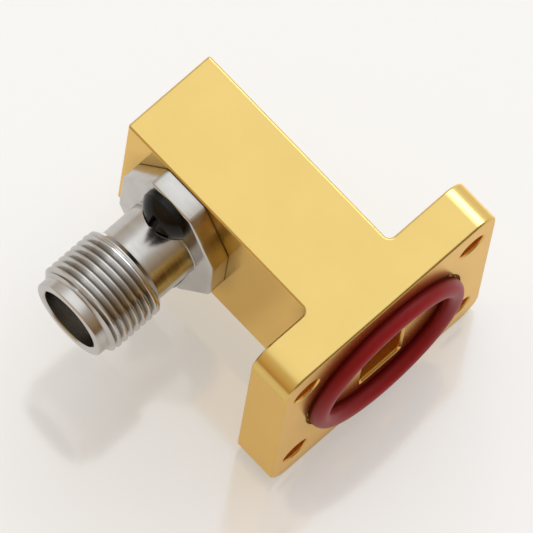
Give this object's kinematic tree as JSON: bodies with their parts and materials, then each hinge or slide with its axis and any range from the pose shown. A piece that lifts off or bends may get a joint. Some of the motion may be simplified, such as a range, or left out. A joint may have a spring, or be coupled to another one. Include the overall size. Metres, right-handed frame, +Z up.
{
  "type": "waveguide to coaxial adapter",
  "caption": "Right-angle adapter from a rectangular waveguide with a square bolt flange and seal ring to a threaded coaxial jack screwed to the side of its plated block.",
  "frame": {"origin": "centre of the guide's mouth on the flange face, which is the centre of the bolt pattern", "axes": "-Y out of the flange face, +Y back along the guide, -X along the jack towards its mouth, +Z up"},
  "size_m": [0.0242, 0.0216, 0.019],
  "materials": {
    "gold_plate": "satin gold plate with fine machining lines",
    "seal_rubber": "wine red silicone with a soft sheen",
    "stainless": "fine turned stainless steel",
    "black_screw": "satin black oxide",
    "contact_gold": "bright gold plate",
    "bead_plastic": "ivory insulator",
    "bushing_steel": "turned stainless steel",
    "feed_insulator": "white fluoropolymer"
  },
  "bodies": {
    "root": {"body": "gold_plate", "flange_o_ring": "seal_rubber", "connector_shell": "stainless", "connector_screws": "black_screw", "center_contact": "contact_gold", "support_bead": "bead_plastic", "retaining_bushing": "bushing_steel", "launch_pin": "contact_gold", "feed_sleeve": "feed_insulator", "probe_tip": "contact_gold"}
  },
  "joints": []
}
